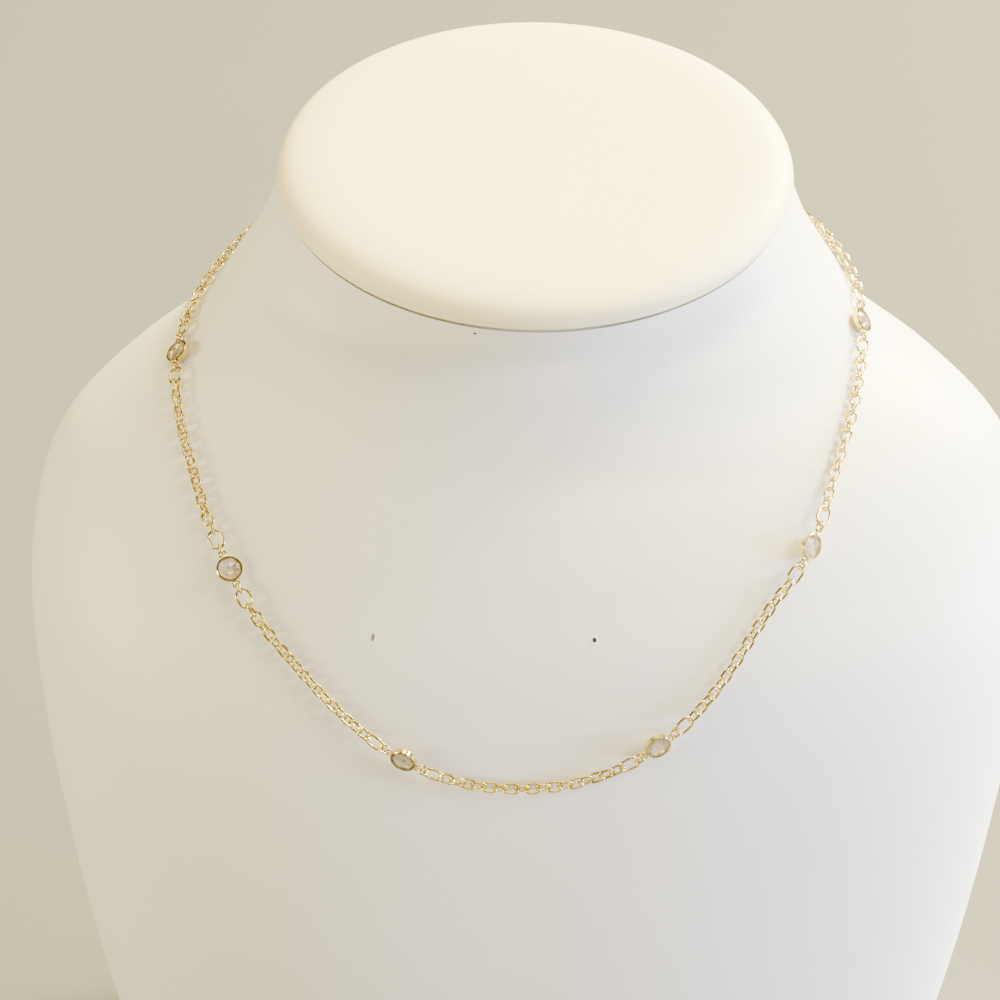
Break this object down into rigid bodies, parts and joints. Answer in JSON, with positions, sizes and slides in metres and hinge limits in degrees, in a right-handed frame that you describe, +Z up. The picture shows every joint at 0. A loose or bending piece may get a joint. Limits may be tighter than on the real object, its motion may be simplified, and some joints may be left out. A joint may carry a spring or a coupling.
{
  "type": "rhinestone station necklace on a neck bust",
  "caption": "Fine cable chain necklace with bezel-set round rhinestones at even distances, shown on a plain padded neck bust.",
  "frame": {"origin": "centre of the base, on the surface that the bust stands on", "axes": "+Z up the neck, -Y towards the front of the chest, +X to the right as seen from the front"},
  "size_m": [0.202, 0.1145, 0.2166],
  "materials": {
    "leatherette": "smooth satin white leatherette",
    "gold": "polished pale gold plate",
    "rhinestone": "clear, polished facets"
  },
  "bodies": {
    "root": {"neck_bust": "leatherette", "neck_cap": "leatherette", "chain_left": "gold", "chain_right": "gold", "clasp": "gold", "clasp_ring": "gold", "setting_1": "gold", "setting_2": "gold", "setting_3": "gold", "setting_4": "gold", "setting_5": "gold", "setting_6": "gold", "setting_7": "gold", "setting_8": "gold", "stone_1": "rhinestone", "stone_2": "rhinestone", "stone_3": "rhinestone", "stone_4": "rhinestone", "stone_5": "rhinestone", "stone_6": "rhinestone", "stone_7": "rhinestone", "stone_8": "rhinestone", "ring_1a": "gold", "ring_1b": "gold", "ring_2a": "gold", "ring_2b": "gold", "ring_3a": "gold", "ring_3b": "gold", "ring_4a": "gold", "ring_4b": "gold", "ring_5a": "gold", "ring_5b": "gold", "ring_6a": "gold", "ring_6b": "gold", "ring_7a": "gold", "ring_7b": "gold", "ring_8a": "gold", "ring_8b": "gold"}
  },
  "joints": []
}
